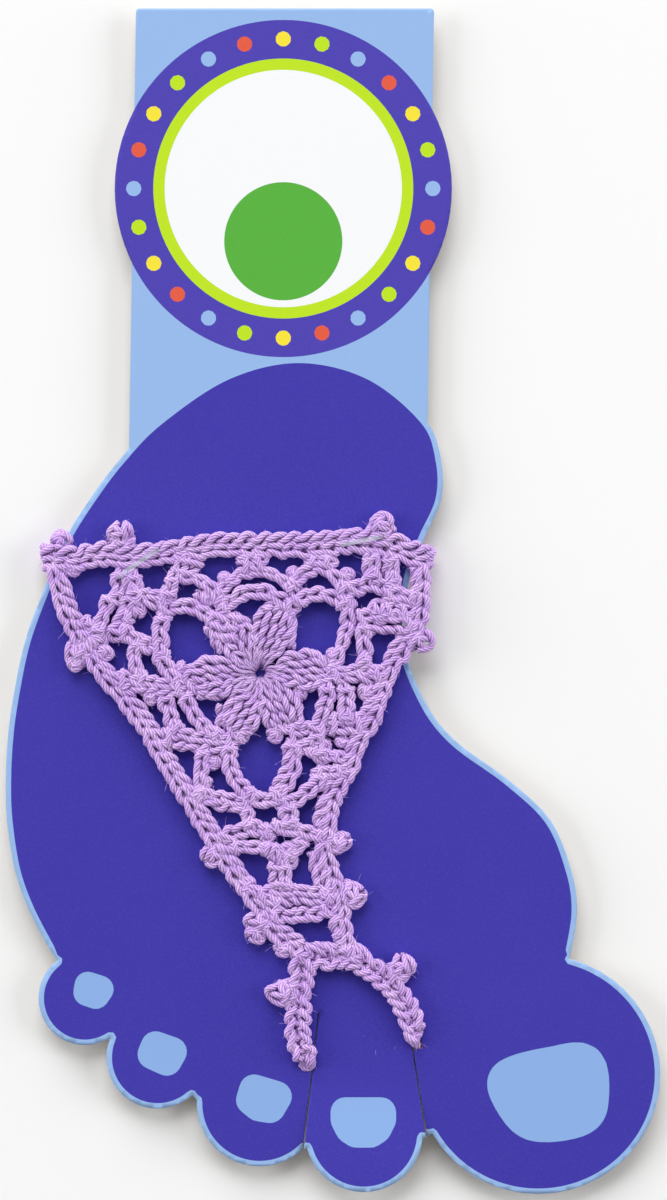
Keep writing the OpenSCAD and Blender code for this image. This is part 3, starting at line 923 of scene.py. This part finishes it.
# Lumps where several rows of the net meet. Columns: place and size
JOINTS = [
    (-36.2, 7.2, 1), (-28.2, 18.6, 0.95), (-26.6, 6.4, 0.9), (26, 13.2, 1.15), (-3, -46.9, 0.9),
    (2.6, -50.4, 1.15), (0.6, -55.4, 1), (18.6, -61, 1.05), (6.4, -39.4, 0.9), (14.6, -49.6, 1),
    (-29.6, 12.4, 0.9), (19.2, 14.8, 0.6), (-27.2, 13.6, 0.6), (-34.6, 4.4, 0.8), (-24, -5.6, 0.7),
    (-12.4, -24, 0.45), (2.9, -13.5, 0.7), (23.2, -4.2, 0.75), (8.1, -4.8, 0.6), (-37.5, 10.6, 0.8),
    (-40.6, 2, 0.85), (-1.2, -57.4, 0.85), (4.8, -60.7, 0.75), (-17.4, 0.9, 0.45),
    (15.6, 4.1, 0.45), (-4.8, -13.8, 0.6), (-12.2, 16.2, 0.5), (-41.4, 22.3, 0.6),
    (-8, 20.6, 0.5), (7.2, 21.7, 0.6), (19, 21.2, 0.5), (17.7, -15.1, 0.5), (-10.4, -20, 0.55),
]
# Short ropes beside the net, the petals and the edges. Columns: start and end
FILLS = [
    (-14.6, 17.4, -11, 14.3), (-11.7, 9.8, -8.5, 4.3), (7.2, 12.8, 6.6, 5.2),
    (13, -27, 12, -34), (11, -39.8, 12.5, -47), (15.6, -52.6, 16.2, -58.2),
    (-14, -5.3, -8.4, -5.4), (-9.2, -7, -9.2, -12), (9.4, -60.4, 16.8, -60.2),
]
FILL_W = 2.3
FILL_TURN = 5.6
# Columns: middle x and y, direction of the outer end in degrees
PICOTS_LEFT = [(-40.4, 4.4, 205), (-10.2, -40, 200), (-0.6, -54.6, 200)]
PICOTS_RIGHT = [(34.9, 7, -30), (16.7, -37.3, -10), (20.2, -48.9, -10)]
PICOTS_RAIL = [(-30.8, 30.2, 92), (26.5, 32.1, 88)]
PICOTS_END = [(-44.2, 28.3, 80), (34.9, 24.9, 10)]
PICOTS_TOE = [(4.8, -70.4, 185), (30.6, -64.9, 50)]
# Places as shares of the strap's hidden stretch, and their distance from its middle
PICOTS_BACK = [0.34, 0.66]
BACK_PICOT_UP = 4.1
# Height of the middle of the strap behind the card, and of its bends
STRAP_BACK_Z = 1.65
STRAP_BEND_Z = (MID_Z + STRAP_BACK_Z) / 2
STRAP_BEND_R = (MID_Z - STRAP_BACK_Z) / 2
# The toe loop
ARM_LEFT = [(9.2, -62.6), (8.8, -68), (8, -73), (7.8, -79), (8.8, -83), (10.44, -85.06)]
ARM_RIGHT = [(20, -62.6), (25, -65.6), (29.4, -69.8), (32.5, -75), (33.92, -80.21)]
CROSSBAR = [(8.6, -62.4), (14.5, -62.7), (20.4, -62.2)]
TOE_W = 5.6
TOE_BACK_Z = 1.62
# How far in from its slots the loop turns behind the card, and its distance from the board
TOE_BEND = 1.56
SLOT_OUT = 0.2
# Columns: place, height over the stitches' middle, size
TOE_KNOTS = [(8.8, -61.9, -0.1, 1), (20.6, -62.2, -0.1, 1.05), (9.7, -84.2, -1.0, 0.8),
             (10.1, -86.1, -1.8, 0.7), (33.2, -79.4, -1.0, 0.8)]

FRONTWARDS = (0, 0, 1)
BACKWARDS = (0, 0, -1)


def arch(row):
    """One band of the net: chain stitches, with a turn of yarn where it joins its neighbours."""
    x0, y0, x1, y1, rise, strands = row
    a, b = np.array([x0, y0]), np.array([x1, y1])
    t = np.linspace(0, 1, 7)[:, None]
    level = MID_Z + rng.uniform(-0.12, 0.12)
    guide = flat_guide(a + (b - a) * t + left_of(b - a) * rise * 4 * t * (1 - t), level)
    width = strands * YARN_W + WORKED
    if strands >= BROAD:
        out = [chain(guide, BROAD_CHAIN_W, offset=width / 2 - BROAD_CHAIN_W / 2)]
        out += rope(guide, BROAD_ROPE_W, offset=-(width / 2 - BROAD_ROPE_W / 2), lift=-0.05,
                    turn=FILL_TURN, hand=1 if rise >= 0 else -1)
    else:
        out = [chain(guide, max(width, LEAST_CHAIN_W), radius=YARN_R * 1.04)]
    for along in (0.9, guide.length - 1.2):
        out.append(wrap(guide, along, width * 0.9, rng.uniform(-0.35, 0.35)))
    return out


def build_net():
    """The net between the flower and the edges, in three pieces of about the same size."""
    strands = []
    for row in NET:
        strands += arch(row)
    for x0, y0, x1, y1 in FILLS:
        strands += rope(flat_guide([(x0, y0), (x1, y1)], MID_Z - 0.2), FILL_W, turn=FILL_TURN)
    for x, y, size in JOINTS:
        strands += knot(x, y, MID_Z - 0.1, size)
    length = np.cumsum([arc(points)[-1] for points, _ in strands])
    first, second = np.searchsorted(length, [length[-1] / 3, length[-1] * 2 / 3])
    yarn_piece("net_upper", strands[:first], "lace_net")
    yarn_piece("net_middle", strands[first:second], "lace_net")
    yarn_piece("net_lower", strands[second:], "lace_net")


def build_edges():
    """The worked edges down both sides, with their picots."""
    left = edge_rows(flat_guide(LEFT_EDGE), EDGE_W, -1) + picots(PICOTS_LEFT)
    yarn_piece("edge_left", left, "edging_left")
    right = edge_rows(flat_guide(RIGHT_EDGE), EDGE_W, 1) + picots(PICOTS_RIGHT)
    yarn_piece("edge_right", right, "edging_right")


# A long stitch of the flower, at shares of its length from the eye: the radius of its two
# strands, how far they lie from its middle, and its height
TREBLE_SIZE = ([0, 0.12, 0.3, 0.5, 1], [0.24, 0.32, 0.52, 0.7, 0.72])
TREBLE_REACH = ([0, 0.15, 0.35, 0.6, 1], [0.05, 0.16, 0.45, 0.45, 0.43])
TREBLE_LIFT = ([0, 0.03, 0.06, 0.2, 0.35, 0.9, 1], [-1.3, -0.4, 0.05, 0.15, 0.25, 0.1, -0.45])
TREBLE_TURN = 5.8
# The share from which a third strand lies under them, its depth and its radius
CORE_FROM = 0.35
TREBLE_CORE_DOWN = 0.55
TREBLE_CORE_R = 0.62


def treble(line, z, twist):
    """A long stitch of the flower: two strands, thin at the eye and full at the petal's tip."""
    guide = flat_guide(line, z, 8)
    along = guide.stations()
    share = along / guide.length
    size, reach, rise = [np.interp(share, *t) for t in (TREBLE_SIZE, TREBLE_REACH, TREBLE_LIFT)]
    phase = along / TREBLE_TURN * 2 * math.pi * twist + any_phase()
    strands = []
    for k in (0, math.pi):
        side = reach * np.cos(phase + k) + rng.normal(0, 0.05, len(along))
        lift = rise + size * Z_SQUEEZE * np.sin(phase + k)
        strands.append((guide.place(along, side, lift), size))
    core = guide.place(along[share > CORE_FROM], 0, -TREBLE_CORE_DOWN)
    strands.append((core, TREBLE_CORE_R))
    return strands


# A petal's long stitches: half the angle over which they leave the eye, and places on the way
FAN = math.radians(25.5)
FAN_NEAR = 2.2
FAN_MID = 4.4
FAN_FAR = 7.2
# How far apart they spread, at what share of their length, and what is left of it at the end
FULL_SIDE = PETAL_R - 0.55
FULL_AT = 0.84
END_SIDE = 0.7
# How far from the petal's tip the middle one ends, and by how much more the outer two
TIP_GAP = 1.1
OUTER_GAP = 2.1
# The rope round the tip
TIP_CURVE = PETAL_R - 1.3
TIP_W = 2.4


def petal(degrees, reach, z):
    """Five long stitches of a petal, all from the open eye, and a rope round its tip."""
    a = math.radians(degrees)
    out = heading(a)
    across = left_of(out)
    strands = []
    for k in (-1, -0.5, 0, 0.5, 1):
        from_eye = heading(a + k * FAN)
        side = across * (k * FULL_SIDE)
        end = reach - TIP_GAP - OUTER_GAP * abs(k)
        line = [HOLE + from_eye * HOLE_R * rng.uniform(0.85, 1.15), HOLE + from_eye * FAN_NEAR,
                from_eye * FAN_MID, from_eye * FAN_FAR,
                out * (end * FULL_AT) + side, out * end + side * END_SIDE]
        strands += treble(line, z + rng.uniform(-0.15, 0.15), rng.choice([-1, 1]))
    rim = [out * (reach - PETAL_R + TIP_CURVE * math.cos(t)) + across * TIP_CURVE * math.sin(t)
           for t in np.radians([-75, -40, 0, 40, 75])]
    return strands + rope(flat_guide(rim, z - 0.15), TIP_W)


def build_flower():
    """The flower's six petals and the turns of yarn across one of them."""
    z = MID_Z + 0.05
    strands = []
    for degrees, reach in PETALS:
        strands += petal(degrees, reach, z)
    for ends in FLOWER_WRAPS:
        strands += rope(flat_guide(ends, z + 0.3), 2.2)
    half = len(strands) // 2
    yarn_piece("flower_front", strands[:half], "flower_motif")
    yarn_piece("flower_back", strands[half:], "flower_motif")


# Points of the guides: behind the card, and all along the strap and the toe loop
BEHIND_POINTS = 40
STRAP_POINTS = 600
TOE_POINTS = 300


def key_line(points, facing, n):
    """Evenly spaced points and directions along a line that is given by its corners."""
    s = arc(points)
    even = np.linspace(0, s[-1], n)
    return [between(even, s, rows) for rows in (points, facing)]


def strap_bend(x, y, way):
    """The strap's turn round the card's right side, way 1, or its left side, way -1."""
    line, facing = [], []
    for degrees in np.linspace(90 * way, -90 * way, 13)[1:]:
        c, s = heading(math.radians(degrees))
        line.append((x + way * STRAP_BEND_R * c, y, STRAP_BEND_Z + STRAP_BEND_R * s))
        facing.append((way * c, 0, s))
    return line, facing


def strap_guide():
    """The strap's line: front, round the right edge, behind, round the left edge."""
    left_x, right_x = EYE[0] + CHART_LEFT, EYE[0] + CHART_LEFT + BEND_SPAN
    y = EYE[1] + CHART_STRAP
    front = catmull(np.concatenate([[[left_x, y]], chart(RAIL_DIP + RAIL), [[right_x, y]]]), 8)
    behind = [(x, y, STRAP_BACK_Z) for x in np.linspace(right_x, left_x, BEHIND_POINTS)[1:]]
    right, faces_right = strap_bend(right_x, y, 1)
    left, faces_left = strap_bend(left_x, y, -1)
    line = [(x, v, MID_Z) for x, v in front] + right + behind + left
    facing = [FRONTWARDS] * len(front) + faces_right + [BACKWARDS] * len(behind) + faces_left
    return Guide(*key_line(np.array(line), facing, STRAP_POINTS))


def build_strap():
    """The strap's closed ring with its picots."""
    guide = strap_guide()
    strands = [
        *rope(guide, 3.0, offset=1.55, lift=0.05, turn=6.6, hand=-1),
        chain(guide, 3.5, offset=-1.15, lift=-0.1),
        *picots(PICOTS_RAIL),
        *picots(PICOTS_END, STRAP_BEND_Z, 0.88),
    ]
    for share in PICOTS_BACK:
        x = CHART_LEFT + share * BEND_SPAN
        strands += picot(x, CHART_STRAP + BACK_PICOT_UP, 90, STRAP_BACK_Z + 0.4)
    yarn_piece("strap_ring", strands, "ankle_strap")


def toe_guide():
    """The toe loop's line: left arm, down its slot, behind the tongue, right arm, crossbar."""
    left, right = chart(ARM_LEFT), chart(ARM_RIGHT)
    across = unit(right[-1] - left[-1])
    over, under = BOARD_TOP + SLOT_OUT, card_low.z - SLOT_OUT

    def arm(points):
        return catmull(np.concatenate([points[:-1], [points[-1] - [0, 0.2]]]), 8)[:-4]

    stretches = [
        (arm(left), MID_Z, FRONTWARDS),
        ([left[-1]], over, (*-across, 0.4)),
        ([left[-1]], under, (*-across, -0.4)),
        ([left[-1] + across * TOE_BEND], TOE_BACK_Z, BACKWARDS),
        ([right[-1] - across * TOE_BEND], TOE_BACK_Z, BACKWARDS),
        ([right[-1]], under, (*across, -0.4)),
        ([right[-1]], over, (*across, 0.4)),
        (arm(right)[::-1], MID_Z, FRONTWARDS),
        (catmull(chart(CROSSBAR[::-1]), 8)[4:-4], MID_Z, FRONTWARDS),
    ]
    line = [(*place, z) for places, z, _ in stretches for place in places]
    facing = [way for places, _, way in stretches for _ in places]
    points, normals = key_line(np.array(line), facing, TOE_POINTS)
    for _ in range(4):
        points[1:-1] = (points[:-2] + 2 * points[1:-1] + points[2:]) / 4
    return Guide(points, normals)


def build_toe_loop():
    """The toe loop's closed ring with its picots."""
    strands = braid(toe_guide(), TOE_W) + picots(PICOTS_TOE, MID_Z, 1.12)
    for x, y, z, size in TOE_KNOTS:
        strands += knot(x, y, MID_Z + z, size)
    yarn_piece("toe_ring", strands, "toe_loop")


# Stray fibres: how many, their radius and lengths, and how low they may lie
FIBRES = 7000
HAIR_R = 0.038
HAIR_LONG = (0.6, 2.1)
HAIR_LOW = 0.1
# Each is three rings of three points. Its faces: six sides and two ends.
HAIR_FACES = [(k + j, k + (j + 1) % 3, k + (j + 1) % 3 + 3, k + j + 3)
              for k in (0, 3) for j in range(3)] + [(2, 1, 0), (6, 7, 8)]


def fibre(root, normal):
    """The points of one stray fibre that bends away from the yarn."""
    way = unit(normal * rng.uniform(0.2, 0.8) + rng.normal(0, 0.7, 3))
    bend = rng.normal(0, 0.5, 3)
    length = rng.uniform(*HAIR_LONG)
    u = unit(np.cross(way, [0.3, 0.5, 0.8]))
    v = np.cross(way, u)
    points = []
    for t in (0, 0.5, 1):
        at = root + way * length * t + bend * length * t * t * 0.5
        at[2] = max(at[2], HAIR_LOW)
        size = HAIR_R * (1 - 0.5 * t)
        for k in range(3):
            w = k * 2 * math.pi / 3
            points.append(at + size * (math.cos(w) * u + math.sin(w) * v))
    return points


def hair_material():
    """A single fibre, a little darker than the lit yarn."""
    m = Nodes("lilac_fibre")
    m.surface(Base_Color=m.mix(m.noise(m.coords(), 700.0), HAIR_DARK, HAIR_PALE), Roughness=0.7)
    return m.mat


def build_fibres():
    """Stray fibres that stand out from the yarn, wherever it doesn't face the floor."""
    verts, faces = [], []
    sources = [o for o in bpy.data.objects if o.type == "MESH" and o.data.materials
               and o.data.materials[0] == bpy.data.materials["lilac_yarn"]]
    total = sum(len(o.data.vertices) for o in sources)
    for obj in sources:
        mesh = obj.data
        co = np.empty(len(mesh.vertices) * 3)
        no = np.empty_like(co)
        mesh.vertices.foreach_get("co", co)
        mesh.vertices.foreach_get("normal", no)
        co, no = co.reshape(-1, 3) / MM, no.reshape(-1, 3)
        pick = rng.integers(0, len(co), int(FIBRES * len(co) / total))
        for root, normal in zip(co[pick], no[pick]):
            if normal[2] >= -0.1:
                base = len(verts)
                faces += [tuple(base + i for i in face) for face in HAIR_FACES]
                verts += fibre(root, normal)
    mesh = bpy.data.meshes.new("stray_fibres")
    mesh.from_pydata((np.array(verts) * MM).tolist(), [], faces)
    mesh.materials.append(hair_material())
    mesh.update()
    obj = add_object("stray_fibres", mesh)
    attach(obj, "root")


def clear_material():
    """Thin clear plastic with a bluish cast."""
    m = Nodes("clear_plastic")
    m.surface(Base_Color=(0.78, 0.84, 0.92, 1), Roughness=0.22, Alpha=0.24,
              Normal=m.bump(m.noise(m.coords(), 900.0, 3.0), 0.00003, 0.5))
    return m.mat


def dress_ties():
    """Give the part's own ties their clear plastic."""
    material = clear_material()
    for name in ("tie_left", "tie_right"):
        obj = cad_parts[name]
        obj.data.materials.clear()
        obj.data.materials.append(material)


def build_stage():
    """A plain pale floor."""
    bpy.ops.mesh.primitive_plane_add(size=9, location=(0, 0, 0))
    floor = bpy.context.object
    floor.name = "floor"
    m = Nodes("floor_white")
    m.surface(Base_Color=(0.93, 0.93, 0.93, 1), Roughness=0.9)
    floor.data.materials.append(m.mat)


# The sky's strength at the horizon and overhead, and the heights between which it fades
HORIZON = 0.9
OVERHEAD = 0.21
FADE = (0.02, 0.22)
# A low softbox beyond the card's top, and a lower one on each side. Columns: name, place and
# size in metres, power in watts
SOFTBOXES = [
    ("key", (-0.7, 4.6, 3.0), 4.4, 290.0),
    ("side_left", (-5.2, 0.8, 2.2), 3.6, 178.0),
    ("side_right", (5.2, 0.8, 2.2), 3.6, 178.0),
]


def area_light(name, place, size, power):
    """A square softbox that faces the card."""
    light = bpy.data.lights.new(name, "AREA")
    light.size = size
    light.energy = power
    obj = add_object(name, light)
    obj.location = place
    obj.rotation_euler = (-Vector(place)).to_track_quat("-Z", "Y").to_euler()


def build_light():
    """The softboxes, and an even sky that is dim overhead and bright at the horizon."""
    m = Nodes("studio", bpy.data.worlds)
    height = m.new("SeparateXYZ", Vector=m.coords("Generated")).outputs["Z"]
    m.surface("Background", Color=WHITE, Strength=m.ramp(height, *FADE, HORIZON, OVERHEAD))
    bpy.context.scene.world = m.mat
    for row in SOFTBOXES:
        area_light(*row)
    bpy.context.scene.view_settings.view_transform = "Standard"


# The photograph's height and the place in its middle, in pixels, and a pixel's size
PHOTO_H = 1200
VIEW_X = 0.5
VIEW_Y = 1.25
PIXEL = 0.22 * MM


def build_camera():
    """A camera straight over the card, at the photograph's angle."""
    data = bpy.data.cameras.new("camera")
    data.lens = 85
    data.sensor_fit = "VERTICAL"
    data.sensor_height = 36
    obj = add_object("camera", data)
    distance = PHOTO_H * PIXEL * data.lens / data.sensor_height
    obj.location = (VIEW_X * PIXEL, VIEW_Y * PIXEL, BOARD_TOP * MM + distance)
    bpy.context.scene.camera = obj


build_camera()
build_card()
build_strap()
build_edges()
build_net()
build_flower()
build_toe_loop()
build_fibres()
dress_ties()
build_stage()
build_light()
